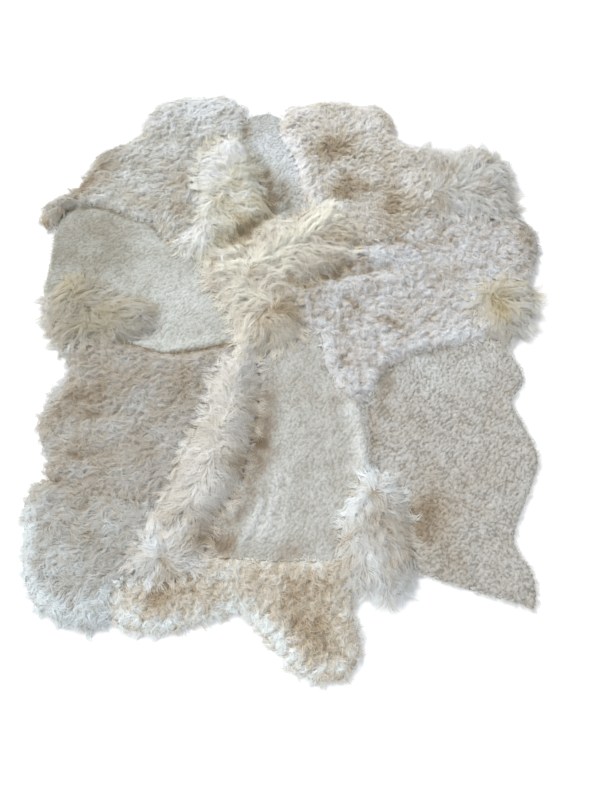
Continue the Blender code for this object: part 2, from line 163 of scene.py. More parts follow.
# The pieces: kind of wool and corners in order; then colours of the wool as red, green and blue
# out of 255 where it is palest, usual, and darkest, a colour that serves for real stains and for
# painted shade; then which way it lies at some places, in degrees from the right towards the head;
# whorls, from which it lies outwards on all sides, as place, reach and how much it turns; and
# marks, as place, reach and strength, above 0 darker and warmer and below 0 paler: some are real
# tan stains and hollows, many are painted shade, such as shadows cast by tufts and shaded rims,
# and the paler ones are partly paler wool and partly painted light; and at some how much less its
# curls and clumps show than on others
Skin = namedtuple("Skin", "kind corners pale usual stained lies whorls marks soft", defaults=[0])
SKINS = {
    "fleece_head_left": Skin(
        "fleece", ("side_tip", "head_left", "neck", "elbow"),
        (209, 212, 213), (184, 184, 178), (180, 174, 161),
        ((-700, 530, 192), (-560, 620, 198), (-500, 720, 205), (-420, 900, 215),
         (-250, 930, 235), (-420, 600, 205), (-350, 480, 230), (-380, 380, 265),
         (-600, 500, 180), (-810, 450, 215)),
        (), ((-380, 590, 80, 0.45), (-395, 450, 80, 0.5), (-240, 770, 50, 0.5),
             (-835, 420, 34, 1.8), (-725, 590, 70, 0.8), (-635, 660, 70, 0.2),
             (-330, 915, 140, -0.8))),
    "long_head": Skin(
        "long", ("neck", "notch", "fork", "elbow"),
        (216, 218, 220), (199, 198, 185), (192, 185, 162),
        ((-200, 720, 100), (-270, 640, 160), (-130, 640, 20), (-290, 500, 200),
         (-120, 500, -20), (-220, 420, -40), (-110, 400, -35), (-330, 340, 215),
         (-200, 300, -20), (-270, 300, -60)),
        (), ((-215, 570, 50, 0.2), (-210, 480, 40, 0.6), (-150, 410, 40, 0.9),
             (-330, 325, 70, -0.6), (-210, 725, 60, -0.9), (-280, 620, 50, -0.5),
             (-105, 500, 30, 0.5))),
    "shorn_head": Skin(
        "shorn", ("head_left", "head_mid", "throat", "notch", "neck"),
        (207, 213, 218), (188, 191, 189), (157, 152, 140),
        ((-80, 850, 25), (-60, 700, 25), (0, 520, 15)),
        (), ((-50, 760, 90, -0.8), (30, 640, 50, -0.3), (-10, 500, 40, 0.3))),
    "fleece_head_right": Skin(
        "fleece", ("head_mid", "head_right", "collar", "crook", "throat"),
        (219, 221, 224), (198, 195, 188), (177, 167, 149),
        ((60, 850, 175), (20, 740, 190), (60, 620, 235), (110, 530, 265), (200, 900, 80),
         (300, 880, 60), (360, 780, 30), (280, 700, 20), (250, 600, 5), (380, 620, 30),
         (440, 650, 35), (330, 480, -30), (420, 520, 40), (200, 500, -60), (260, 400, -50)),
        (), ((165, 730, 60, 1.3), (365, 460, 80, 0.9), (215, 575, 50, 0.9),
             (180, 520, 40, 0.8), (225, 850, 80, -0.1), (355, 880, 45, 0.6),
             (330, 600, 90, 0.45), (400, 600, 40, -0.6))),
    "long_shoulder": Skin(
        "long", ("head_right", "shoulder", "collar"),
        (204, 206, 206), (187, 186, 181), (173, 166, 153),
        ((600, 690, 105), (700, 700, 70), (760, 620, 20), (770, 540, -10), (690, 570, 30),
         (570, 600, 85), (550, 520, -50), (640, 480, -40), (740, 470, -30)),
        (), ((520, 500, 40, 1.0), (570, 640, 40, 0.4), (600, 500, 45, -0.4),
             (690, 550, 50, 0.5), (660, 650, 70, -0.1))),
    "curled_right": Skin(
        "curled", ("collar", "shoulder", "flank_high", "hip", "point", "saddle", "crook"),
        (205, 209, 212), (192, 191, 190), (175, 168, 157),
        ((700, 400, -70), (600, 350, -60), (450, 380, -70), (300, 260, -20), (150, 260, -30),
         (100, 150, -50), (150, 60, -60), (300, 60, -40), (450, 60, 20), (550, 60, 30),
         (450, 200, -60), (200, -60, -80), (250, -130, -60), (120, -50, -85), (780, 300, -10)),
        (), ((810, 365, 45, 1.1), (250, 110, 90, 0.2), (220, -190, 45, 0.3),
             (170, 60, 60, 0.1), (550, 355, 60, 0.3), (435, 165, 90, 0.2),
             (620, 300, 70, -0.2))),
    "long_flank_right": Skin(
        "long", ("flank_high", "flank_low", "hip"),
        (207, 209, 207), (185, 181, 170), (183, 173, 145),
        ((760, 60, -20), (640, 30, -80), (720, 180, 35), (600, 110, 200), (660, 60, -70)),
        ((655, 135, 70, 15),), ((685, 100, 55, 1.2), (760, 110, 60, -0.1))),
    "shorn_right": Skin(
        "shorn", ("hip", "flank_low", "foot_right", "crown", "point"),
        (194, 196, 195), (181, 179, 174), (169, 159, 144),
        ((300, -200, 80), (450, -150, 80), (600, -150, 70), (420, -380, 35), (560, -360, 40),
         (350, -430, 20), (450, -560, -10), (640, -420, 75), (650, -700, -50), (480, -690, 5)),
        (), ((380, -560, 50, 0.7), (400, -625, 55, 0.7), (440, -530, 90, 0.45),
             (445, -110, 80, -0.7), (600, -130, 60, -0.3), (480, -690, 60, 0.2)),
        -0.15),
    "long_foot": Skin(
        "long", ("crown", "foot_right", "foot_mid", "hem"),
        (206, 211, 213), (186, 184, 178), (171, 161, 144),
        ((260, -580, -55), (310, -620, -30), (230, -690, -75), (300, -740, -65),
         (190, -730, -100), (170, -560, 180), (240, -450, 95), (330, -520, 10)),
        ((250, -505, 75, 8), (175, -635, 45, 0)),
        ((258, -508, 16, 1.3), (178, -635, 12, 1.3), (310, -620, 70, 0.7), (175, -580, 50, -0.6),
         (240, -455, 55, -0.5))),
    "shorn_centre": Skin(
        "shorn", ("saddle", "point", "crown", "hem", "toe", "heel", "buckle"),
        (205, 208, 207), (185, 185, 180), (163, 153, 139),
        ((0, -150, 100), (120, -200, 88), (60, -350, 85), (180, -400, 85), (-120, -560, 125),
         (0, -550, 95), (120, -620, 60), (-50, -660, 20)),
        (), ((30, 0, 60, 0.3), (0, -670, 60, 0.5), (-40, -600, 60, -0.4), (20, -400, 120, -0.2)),
        0.25),
    "shorn_left": Skin(
        "shorn", ("side_tip", "elbow", "fork", "waist", "pocket", "side_high"),
        (206, 210, 208), (186, 188, 182), (159, 156, 145),
        ((-700, 400, 5), (-740, 250, -5), (-600, 350, 10), (-450, 250, 35), (-350, 150, 38),
         (-350, 30, 40), (-550, 220, 20)),
        (), ((-700, 430, 80, 0.35), (-760, 300, 80, 0.6), (-630, 265, 60, 0.5),
             (-590, 380, 100, 0.55), (-330, 160, 130, -0.5), (-480, 60, 60, 0.3)),
        0.25),
    "long_centre": Skin(
        "long", ("fork", "notch", "throat", "crook", "saddle", "buckle", "belt", "waist"),
        (220, 216, 204), (194, 189, 177), (182, 171, 150),
        ((120, 440, 60), (0, 400, 115), (-100, 330, 125), (-210, 240, 190), (-150, 150, 175),
         (-190, 60, 200), (-130, -20, 225), (180, 370, 0), (60, 290, -20), (-20, 230, 10),
         (-80, 200, 20), (30, 160, -60), (10, 20, -70)),
        ((-40, 80, 60, 20),),
        ((10, 90, 45, 0.9), (-110, 225, 28, 1.1), (-35, 90, 16, 1.0), (-170, 130, 80, -0.7),
         (-60, -10, 50, 0.4), (200, 370, 50, 0.4), (-20, 250, 70, -0.8),
         (150, 445, 40, -0.6))),
    "long_flank_left": Skin(
        "long", ("side_high", "pocket", "side_mid"),
        (183, 182, 177), (166, 161, 147), (169, 162, 139),
        ((-600, 150, 10), (-520, 100, -10), (-560, 40, -30), (-700, 60, 200), (-770, 120, 200),
         (-640, 200, 70), (-470, 60, 10)),
        ((-690, 150, 50, 30),), ((-690, 150, 60, 1.0), (-550, 55, 60, 1.0), (-500, 100, 60, -0.3),
                                 (-780, 110, 50, -0.3)),
        0.2),
    "fleece_left": Skin(
        "fleece", ("side_mid", "pocket", "waist", "belt", "bend", "side_low"),
        (178, 180, 179), (168, 163, 154), (160, 151, 136),
        ((-650, -250, 182), (-600, -100, 165), (-400, -120, 185), (-350, -300, 190),
         (-500, -400, 175), (-650, -430, 172), (-250, -100, 200), (-320, -450, 215)),
        (), ((-605, -215, 60, 0.9), (-310, -170, 60, 0.8), (-560, -140, 60, 0.5),
             (-590, -350, 70, 0.3), (-450, -230, 80, -0.1), (-400, -75, 40, -0.4),
             (-720, -320, 50, 0.3), (-395, -470, 50, -0.6)),
        0.2),
    "long_strip": Skin(
        "long", ("belt", "buckle", "heel", "ankle", "bend"),
        (208, 207, 203), (192, 189, 181), (179, 170, 156),
        ((-190, -120, 130), (-120, -160, 30), (-200, -230, 150), (-130, -260, -20),
         (-240, -330, 150), (-150, -360, -15), (-270, -440, 190), (-190, -460, -30),
         (-310, -540, 215), (-220, -550, -15), (-330, -590, -120)),
        (), ((-180, -400, 45, 0.4), (-150, -120, 50, -0.5), (-290, -590, 50, 0.2),
             (-250, -520, 45, -0.4), (-330, -560, 45, -0.4)),
        0.5),
    "long_rosette": Skin(
        "long", ("ankle", "heel", "toe", "cuff"),
        (205, 211, 214), (194, 192, 186), (179, 169, 153),
        ((-250, -650, 10),), ((-340, -690, 200, 5),),
        ((-335, -690, 22, 0.8), (-360, -660, 40, -0.8))),
    "fleece_foot_left": Skin(
        "fleece", ("side_low", "bend", "ankle", "cuff", "foot_left"),
        (199, 206, 208), (172, 172, 168), (165, 160, 149),
        ((-650, -520, 172), (-550, -600, 185), (-700, -620, 190), (-690, -760, 215),
         (-560, -830, 250), (-450, -640, 170), (-450, -760, 225), (-560, -720, 200)),
        (), ((-600, -540, 110, 0.4), (-550, -640, 120, 0.1), (-510, -800, 45, -0.4)),
        0.45),
    "curled_foot": Skin(
        "curled", ("cuff", "toe", "hem", "foot_mid", "foot_left"),
        (210, 216, 216), (192, 187, 176), (181, 171, 154),
        ((-350, -780, -75), (-250, -800, -85), (-100, -760, -60), (50, -760, -80),
         (110, -850, -60), (160, -950, -50), (20, -950, -130), (-410, -850, -110)),
        (), ((90, -890, 80, 0.8), (-345, -775, 50, 1.0), (-270, -770, 45, 0.5),
             (70, -780, 90, 0.6), (-135, -775, 80, 0.1), (-160, -730, 40, -0.5))),
}

# How wool grows, by kind: distance between clumps, locks in one, their length and how much it
# varies, width, waves along one, how far it swings and bends in radians, points along it, how
# far locks draw together, how deep in the pile they start, how far they stand up and stray, and
# how much they turn across a seam
Growth = namedtuple(
    "Growth", "spacing locks length varies width waves swing bend points gather root lift stray "
    "over")
GROWTH = {
    "fleece": Growth(
        0.0150, 9, 0.031, 0.35, 0.0021, 1.2, 0.70, 1.0, 5, 0.50, 0.74, 0.0022, 0.65, 0.9),
    "curled": Growth(
        0.0120, 6, 0.027, 0.4, 0.0023, 0.8, 0.60, 1.5, 5, 0.40, 0.70, 0.0020, 0.75, 1.3),
    "long": Growth(
        0.0165, 12, 0.066, 0.3, 0.0018, 1.5, 0.50, 0.8, 6, 0.42, 0.68, 0.0040, 0.25, 0.6),
    "shorn": Growth(
        0.0050, 2, 0.012, 0.3, 0.0026, 0.6, 0.50, 2.2, 5, 0.20, 0.70, 0.0015, 0.90, 0.6),
}

# Clumps of the pile, by kind: their size, how much longer than wide they are, twice over, how deep
# the partings between them are as a share of the pile, and how much painted shade darkens and
# warms the wool in the partings, with painted light paling it on the clumps' tops
Clump = namedtuple("Clump", "size stretch depth stain")
CLUMPS = {
    "fleece": Clump(0.025, 1.12, 0.26, 0.26),
    "curled": Clump(0.026, 1.12, 0.34, 0.46),
    "long": Clump(0.034, 1.35, 0.16, 0.14),
}

# Folds, rolls and partings that run through the wool: the line that each follows in the pattern's
# columns, its half width and how far it stands up, in millimetres, how far it darkens and warms
# the wool, above 0, or makes it paler, below 0, and at some how far it is in painted shade. The
# darkening is mostly painted shade in valleys, partings and beside raised wool, warm as the wool's
# own tan; the paling is painted light on the crests of rolls and along pale rims. Rows that don't
# stand up only paint light or shade onto the wool
FOLDS = (
    (((-770, 508), (-655, 522), (-525, 468), (-450, 440)), 18, 5, -0.4),
    (((-800, 460), (-750, 486), (-655, 493), (-528, 439), (-470, 420), (-430, 367)), 7, -4, 1.1),
    (((-530, -2), (-400, -40), (-305, -30), (-185, 0)), 20, 6, -0.6),
    (((-530, -25), (-400, -65), (-305, -60), (-185, -35)), 9, -6, 1.6),
    (((75, 45), (126, 15), (142, -85), (194, -180), (226, -215)), 24, 6, -0.5),
    (((226, -215), (265, -150), (328, -72), (435, -28), (530, -12), (630, 10)), 26, 6, -0.5),
    (((165, 40), (190, -75), (228, -150), (262, -100)), 22, -8, 0.3),
    (((140, 205), (230, 222), (330, 243)), 10, -9, 0.7),
    (((250, 275), (320, 285), (420, 290)), 34, 5, -0.7),
    (((-150, -110), (-175, -230), (-205, -350), (-250, -470)), 42, 5, -0.4),
    (((-52, -190), (-55, -285), (-66, -360)), 32, -4, 0.7, 0.6),
    (((-68, -370), (-85, -430), (-110, -520), (-130, -580)), 26, -4, 0.5, 0.5),
    (((-100, -180), (-105, -320), (-140, -470), (-200, -570)), 22, -10, 0.5),
    (((-245, -625), (-200, -645), (-150, -655)), 34, -6, 1.2, 0.2),
    (((-70, -540), (-95, -600), (-130, -655)), 14, 5, -1.0),
    (((-25, -450), (-40, -550), (-70, -640)), 13, 5, -0.9),
    (((15, -430), (5, -530), (-10, -630)), 13, 4, -0.5),
    (((-48, -500), (-65, -570), (-95, -640)), 8, -3, 0.4),
    (((198, -250), (215, -340), (220, -440)), 18, 7, -0.9),
    (((252, -262), (264, -340), (257, -430)), 14, -5, 0.4),
    (((318, -120), (300, -190), (292, -245)), 28, -3, 0.5, 0.5),
    (((200, 128), (244, 92)), 11, -6, 0.9),
    (((258, 78), (302, 42)), 11, -6, 0.9),
    (((330, 42), (384, 8)), 11, -6, 0.8),
    (((180, 20), (215, -30)), 11, -6, 0.7),
    (((790, 650), (785, 545), (800, 480)), 35, 0, 0, 0.6),
    (((-105, 700), (-62, 560), (-70, 450), (-150, 362), (-225, 325)), 28, -16, 1.2, 0.5),
    (((-20, 600), (10, 520)), 30, 0, 0.3),
    (((180, 475), (60, 375), (-50, 300), (-120, 250), (-200, 225)), 30, 7, -0.9),
    (((0, 790), (50, 650), (95, 520), (150, 480)), 34, 7, -0.9),
    (((20, 190), (60, 175), (140, 222), (245, 268)), 24, -10, 1.2, 0.7),
    (((-480, 20), (-400, 40), (-320, 90)), 60, 2, -0.3),
    (((-695, -262), (-600, -275), (-500, -262)), 14, -7, 0.8),
    (((-685, -395), (-610, -402), (-520, -392)), 14, -7, 0.8),
    (((-690, -330), (-580, -335), (-480, -325)), 28, 4, -0.2),
    (((150, 350), (215, 330), (300, 335), (390, 350)), 12, -8, 0.8),
    (((150, -968), (60, -962), (-50, -868), (-125, -815),
      (-255, -845), (-345, -862), (-435, -850)), 23, -2, -0.85),
    (((-500, -850), (-540, -855), (-658, -808), (-712, -715), (-726, -600), (-738, -550)), 26, -2,
     -1.1),
    (((-220, -692), (-100, -700), (40, -704), (150, -700)), 13, 3, -0.3),
    (((-750, -480), (-695, -468), (-620, -482)), 13, -8, 0.6, 0.3),
    (((-810, 525), (-770, 570), (-715, 640), (-660, 735)), 70, 0, 0.2, 1.1),
    (((-800, 200), (-795, 300), (-785, 400)), 50, 0, 0, 0.45),
    (((0, 505), (-60, 453), (-130, 388), (-185, 345)), 22, -12, 0.3, 0.7),
    (((290, -155), (305, -130), (370, -78), (485, -47), (580, -25)), 14, -3, 0.2, 0.7),
    (((330, -145), (360, -115), (450, -75), (550, -50)), 26, 0, 0, 0.3),
    (((-130, 385), (-60, 425), (20, 460)), 30, 0, 0.1, 0.4),
    (((-20, 300), (-10, 240), (20, 160)), 30, 0, 0, 0.3),
    (((140, 195), (200, 205)), 25, 0, 0.1, 0.3),
    (((-280, 580), (-240, 540)), 40, 0, -0.4),
    (((-520, 380), (-480, 370)), 50, 0, -0.3),
    (((-330, -165), (-300, -145)), 40, 0, -0.35),
    (((-500, -825), (-480, -810)), 35, 0, -0.5),
    (((540, 120), (580, 130)), 40, 0, -0.4),
    (((-155, 870), (-150, 800), (-138, 740)), 24, -3, 0.5, 0.5),
    (((-700, -120), (-715, -180), (-735, -245), (-740, -325), (-710, -400)), 20, 0, -0.5),
    (((790, 470), (825, 400), (835, 335), (815, 250)), 36, 0, 0, 0.9),
)
FOLD_STEP = 0.03           # between the points of a fold's line
FOLD_REACH = 0.12          # past which a fold no longer shows
WIDE_FOLD = 30             # half width, in millimetres, from which a fold wobbles less
DEEPEST_SHADE = 0.8

# Random patterns lie on square lattices, turned by an angle in radians
LATTICE_SIZE = 256
LATTICE_START = 1000       # keeps every place on a lattice above 0
LATTICE_TURN = 0.62
LATTICE_AXES = np.array((
    (math.cos(LATTICE_TURN), math.sin(LATTICE_TURN)),
    (-math.sin(LATTICE_TURN), math.cos(LATTICE_TURN))))

# How the wool lies
TURN_SIZE = 0.055          # distance over which the lie wanders
TURN_BY = {"fleece": 0.55, "curled": 0.55, "long": 0.35, "shorn": 0.55}  # how far, in radians
LIE_REACH = 0.03           # within which a direction of the table holds alone
WHORL_PULL = 1.6

# How locks are combed and how high they lie
START_BACK = 0.35          # how far behind its place a lock starts, as a share of its length
RIM_COMB = 0.040           # how near the rim the locks turn outwards
RIM_PULL = 1.8
SEAM_COMB = 0.015          # how near a seam they lean across it
SEAM_SHORTER = 0.4         # how much shorter deep wool is at a seam
RIM_LENGTH = {"fleece": 0.95, "curled": 1.0, "long": 0.95, "shorn": 1.2}  # share, at the rim
RIM_PAINTED_LIGHT = 0.015           # how near the rim locks get painted light, paler as if the rim caught the light
HIDE_CLEARANCE = 0.0015    # between a lock and the hide
DEEP_WOOL = 0.008          # wool of the next piece that a lock has to lie on
FLOOR_CLEARANCE = 0.0006
LOCK_STAIN_AND_LIGHTING_ENDS = 0.03, 0.97   # the ends of the range of stains and painted light and shade on the locks' UV
SHADE_STEP = 0.004         # distance over which the pile's slope is read

# Surfaces, shading and colour
UNDER_GRID = 0.009
UNDER_SHARE = 0.84         # height of the underwool, as a share of the pile
SHORN_GRID = 0.0036
SHORN_RIM = 0.012          # how near the rim shorn wool rounds off
FACE_LOOK = 0.22           # how much of a lock's own facing is in its shading
ROUND_LOOK = 0.10          # how far a lock's shading turns aside at its edges, as if it were round
PILE_LOOK = 1.4            # how much of the pile's own slope is in the locks' shading
CURL_SIZE = 0.0108         # tight curls of the shorn wool
CURL_HEIGHT = 0.0050       # from the bottom of a parting to a curl's top
CURL_STRETCH = 1.22        # how much longer curls are along the lie than across it, twice over
LOCK_PALER = 1.35          # deep wool shades itself, so its locks are paler than it looks
SHORN_PALER = 1.28
UNDER_PALER = 1.20
FIBRE_GRAIN = 260          # crimped fibres to the metre


def place(point):
    """A point of the pattern, in metres."""
    return MM * np.array(point, float)


def smooth_line(points, step):
    """A Catmull-Rom curve through the points, cut into equal lengths of about one step."""
    points = np.array(points)
    ends = np.vstack((2 * points[0] - points[1], points, 2 * points[-1] - points[-2]))
    t = np.linspace(0, 1, 24, endpoint=False)[:, None]
    runs = []
    for a, b, c, d in zip(ends, ends[1:], ends[2:], ends[3:]):
        bend = (2 * a - 5 * b + 4 * c - d) * t**2 + (3 * b - a - 3 * c + d) * t**3
        runs.append(b + 0.5 * ((c - a) * t + bend))
    fine = np.vstack((*runs, points[-1:]))
    along = np.append(0, np.cumsum(np.linalg.norm(np.diff(fine, axis=0), axis=1)))
    at = np.linspace(0, along[-1], max(2, round(along[-1] / step) + 1))
    return np.stack([np.interp(at, along, fine[:, axis]) for axis in (0, 1)], axis=1)


def outline(skin):
    """A piece's outline, anticlockwise, and for each side of it whether it is on the rim."""
    points, on_rim = [], []
    for start, end in zip(skin.corners, skin.corners[1:] + skin.corners[:1]):
        for table in (RIM, SEAMS):
            for key in ((start, end), (end, start)):
                if key in table:
                    through = [place(p) for p in (CORNERS[key[0]], *table[key], CORNERS[key[1]])]
                    line = smooth_line(through, OUTLINE_STEP)[:: 1 if key[0] == start else -1]
                    points.extend(line[:-1])
                    on_rim.extend([table is RIM] * (len(line) - 1))
    points, on_rim = np.array(points), np.array(on_rim)
    after = np.roll(points, -1, axis=0)
    if (points[:, 0] * after[:, 1] - points[:, 1] * after[:, 0]).sum() < 0:
        points, on_rim = points[::-1], np.roll(on_rim[::-1], -1)
    side = np.roll(points, -1, axis=0) - np.roll(points, 1, axis=0)
    away = np.stack((side[:, 1], -side[:, 0]), axis=1)
    away /= np.linalg.norm(away, axis=1, keepdims=True)
    return points - 0.5 * SEAM_GAP * away, on_rim


def nearest_on(points, starts, ends):
    """For each point, the nearest place on some straight sides, and how far away it is."""
    spots, gaps = np.zeros((len(points), 2)), np.full(len(points), np.inf)
    if len(starts):
        run = ends - starts
        for first in range(0, len(points), BATCH):
            part = points[first:first + BATCH]
            away = part[:, None] - starts
            share = np.clip((away * run).sum(axis=2) / (run**2).sum(axis=1), 0, 1)
            spot = starts + share[..., None] * run
            gap = np.linalg.norm(part[:, None] - spot, axis=2)
            best = gap.argmin(axis=1)
            spots[first:first + BATCH] = spot[np.arange(len(part)), best]
            gaps[first:first + BATCH] = gap[np.arange(len(part)), best]
    return spots, gaps


def is_inside(points, loop):
    """Whether each point is inside a closed loop, by counting crossings."""
    ax, ay = loop.T
    bx, by = np.roll(loop, -1, axis=0).T
    slope = (bx - ax) / np.where(by == ay, 1, by - ay)
    inside = []
    for first in range(0, len(points), BATCH):
        x, y = points[first:first + BATCH, 0, None], points[first:first + BATCH, 1, None]
        crosses = ((ay > y) != (by > y)) & (x < slope * (y - ay) + ax)
        inside.append(crosses.sum(axis=1) % 2 == 1)
    return np.concatenate(inside)


def lattice(seed):
    """Two even random values from 0 to 1 at each place of a square lattice."""
    return np.random.default_rng(seed).random((LATTICE_SIZE, LATTICE_SIZE, 2))


def wander(points, size, seed):
    """A smooth random value at each point, from -1 to 1: values on a square lattice of that
    size, turned off the axes, joined by an S-shaped blend."""
    at = points @ LATTICE_AXES / size + LATTICE_START
    cell = np.floor(at).astype(int)
    s = at - cell
    s = s * s * (3 - 2 * s)
    values = lattice(seed)[..., 0]
    pick = lambda i, j: values[
        (cell[:, 0] + i) % LATTICE_SIZE, (cell[:, 1] + j) % LATTICE_SIZE]
    low = pick(0, 0) * (1 - s[:, 0]) + pick(1, 0) * s[:, 0]
    high = pick(0, 1) * (1 - s[:, 0]) + pick(1, 1) * s[:, 0]
    return 2 * (low * (1 - s[:, 1]) + high * s[:, 1]) - 1


def tight_curls(points, size, lie, stretch, seed, reach=0.55):
    """Rounded curls: 1 at scattered middles, falling with the square of the distance from the
    nearest one to 0 where that reaches the given share of the size squared. Distance counts less
    along the lie, by the stretch, and more across it."""
    at = points @ LATTICE_AXES / size + LATTICE_START
    cell = np.floor(at).astype(int)
    values = lattice(seed)
    c, s = np.cos(lie + LATTICE_TURN), np.sin(lie + LATTICE_TURN)
    nearest = np.full(len(points), np.inf)
    for i in (-1, 0, 1):
        for j in (-1, 0, 1):
            corner = cell + (i, j)
            place_in = values[corner[:, 0] % LATTICE_SIZE, corner[:, 1] % LATTICE_SIZE]
            x, y = (at - corner - 0.08 - 0.84 * place_in).T
            along, across = (x * c + y * s) / stretch, (y * c - x * s) * stretch
            nearest = np.minimum(nearest, along**2 + across**2)
    return 1 - np.clip(nearest / reach, 0, 1)


def lie_of(skin, points):
    """Which way the wool lies at each point, in radians: the table's directions weighted by one
    over the cube of the distance, with whorls added and a slow wandering turn."""
    table = np.array(skin.lies, float)
    gaps = ((points[:, None] - MM * table[:, :2]) ** 2).sum(axis=2) + LIE_REACH**2
    weight = 1 / gaps**1.5
    turn = np.radians(table[:, 2])
    flow = np.stack(((weight * np.cos(turn)).sum(axis=1), (weight * np.sin(turn)).sum(axis=1)), 1)
    flow /= np.linalg.norm(flow, axis=1, keepdims=True) + 1e-9
    for x, y, reach, twist in skin.whorls:
        away = points - MM * np.array((x, y))
        gap = np.linalg.norm(away, axis=1, keepdims=True)
        share = np.exp(-((gap / (MM * reach)) ** 2))
        c, s = math.cos(math.radians(twist)), math.sin(math.radians(twist))
        away = away @ np.array(((c, s), (-s, c))) / (gap + 1e-6)
        flow = flow * (1 - share) + WHORL_PULL * share * away
    return np.arctan2(flow[:, 1], flow[:, 0]) + TURN_BY[skin.kind] * wander(points, TURN_SIZE, 5)


def stain_and_lighting_of(skin, points, folds):
    """How far the wool is darkened and warmed, from 0, pale, over 0.5 to 1: the sum of the marks,
    each falling off as a bell, and of the folds, with slow and fine random changes. The random
    changes are the wool's own tone; the marks and folds are partly real stains and mostly painted
    shade and light."""
    mottle = 0.20 * wander(points, 0.060, 11) + 0.14 * wander(points, 0.022, 12)
    stain = 0.5 + (0.5 if skin.kind == "shorn" else 1) * mottle
    stain += 0.5 * read_map(folds, points)
    for x, y, reach, strength in skin.marks:
        gap = np.linalg.norm(points - MM * np.array((x, y)), axis=1)
        stain += 0.5 * strength * np.exp(-((gap / (MM * reach)) ** 2))
    return stain


def pile_top(skin, points, over, low, *_):
    """The top of deep wool and how high each point is on its clump, from 0 to 1: the mapped
    height above the hide, made lower in the partings between clumps."""
    how = CLUMPS[skin.kind]
    bent = points + 0.25 * how.size * np.stack(
        (wander(points, how.size, 51), wander(points, how.size, 52)), axis=1)
    lie = lie_of(skin, points)
    clump = 0.62 * tight_curls(bent, how.size, lie, how.stretch, 53)
    clump += 0.38 * tight_curls(bent, 0.55 * how.size, lie, 1.1, 54, 0.45)
    floor = read_map(low, points)
    depth = read_map(over, points) - floor
    return floor + depth * (1 - how.depth * (1 - skin.soft) * (1 - clump)), clump


# Height maps: square grids of heights over the whole rug

def map_frame():
    """The place of the maps' first cell, and how many cells they have each way."""
    low, high = (np.array(corner[:2]) for corner in packed_box)
    first = low - MAP_MARGIN
    return first, np.ceil((high + MAP_MARGIN - first) / MAP_PITCH).astype(int) + 1


def cast_node(node):
    """Heights of a CAD node's top and of its underside, by a ray down and a ray up from each
    cell of the map; cells beside the node hold nothing."""
    first, count = map_frame()
    top, low = np.full(count, np.nan), np.full(count, np.nan)
    corners = [np.array(corner[:2]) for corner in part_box(node)]
    start = np.floor((corners[0] - first) / MAP_PITCH).astype(int)
    end = np.ceil((corners[1] - first) / MAP_PITCH).astype(int) + 1
    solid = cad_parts[node]
    down, up = Vector((0, 0, -1)), Vector((0, 0, 1))
    for i in range(start[0], end[0]):
        for j in range(start[1], end[1]):
            x, y = first + MAP_PITCH * np.array((i, j))
            hit, spot, _, _ = solid.ray_cast(Vector((x, y, 1)), down)
            if hit:
                top[i, j] = spot.z
                low[i, j] = solid.ray_cast(Vector((x, y, -1)), up)[1].z
    return top, low


def spread(heights, rings):
    """Fills empty cells from the neighbours that hold a height, a ring at a time."""
    for _ in range(rings):
        total, count = np.zeros_like(heights), np.zeros_like(heights)
        for axis in (0, 1):
            for shift in (1, -1):
                side = np.roll(heights, shift, axis=axis)
                known = np.isfinite(side)
                total += np.where(known, side, 0)
                count += known
        empty = ~np.isfinite(heights) & (count > 0)
        heights = np.where(empty, total / np.maximum(count, 1), heights)
    return np.nan_to_num(heights)


def blur(heights, reach):
    """The heights smoothed by a bell of that reach in cells, along rows and then columns."""
    k = np.arange(-3 * math.ceil(reach), 3 * math.ceil(reach) + 1)
    bell = np.exp(-0.5 * (k / reach) ** 2)
    bell /= bell.sum()
    for axis in (0, 1):
        heights = sum(w * np.roll(heights, s, axis=axis) for w, s in zip(bell, k))
    return heights


def read_map(heights, points):
    """A map's height at each point, blended from the four nearest cells."""
    first, count = map_frame()
    at = np.clip((points - first) / MAP_PITCH, 0, count - 1.001)
    cell = at.astype(int)
    s = at - cell
    i, j = cell[..., 0], cell[..., 1]
    low = heights[i, j] * (1 - s[..., 0]) + heights[i + 1, j] * s[..., 0]
    high = heights[i, j + 1] * (1 - s[..., 0]) + heights[i + 1, j + 1] * s[..., 0]
    return low * (1 - s[..., 1]) + high * s[..., 1]


def map_folds(shift):
    """Maps of how far the folds raise the wool, how far they darken or pale it, mostly painted
    shade and light, and how far they put it in painted shade: each falls off as a bell on both
    sides of its line."""
    first, count = map_frame()
    i, j = np.meshgrid(np.arange(count[0]), np.arange(count[1]), indexing="ij")
    points = first + MAP_PITCH * np.stack((i.ravel(), j.ravel()), axis=1)
    rise, stain, shade = np.zeros((3, len(points)))
    for line, width, lift, row_stain_and_lighting, *dark in FOLDS:
        run = smooth_line([place(point) + shift for point in line], FOLD_STEP)
        low, high = run.min(axis=0) - FOLD_REACH, run.max(axis=0) + FOLD_REACH
        near = ((points > low) & (points < high)).all(axis=1)
        _, gap = nearest_on(points[near], run[:-1], run[1:])
        wobble = 0.5 if width < WIDE_FOLD else 0.2
        gap = gap * (1 + wobble * wander(points[near], 0.030, 61))
        bell = np.exp(-((gap / (MM * width)) ** 2)) * (0.8 + 0.4 * wander(points[near], 0.022, 62))
        rise[near] += MM * lift * bell
        stain[near] += row_stain_and_lighting * bell
        shade[near] += sum(dark) * bell
    shade = np.minimum(shade, DEEPEST_SHADE)
    return rise.reshape(count), stain.reshape(count), shade.reshape(count)


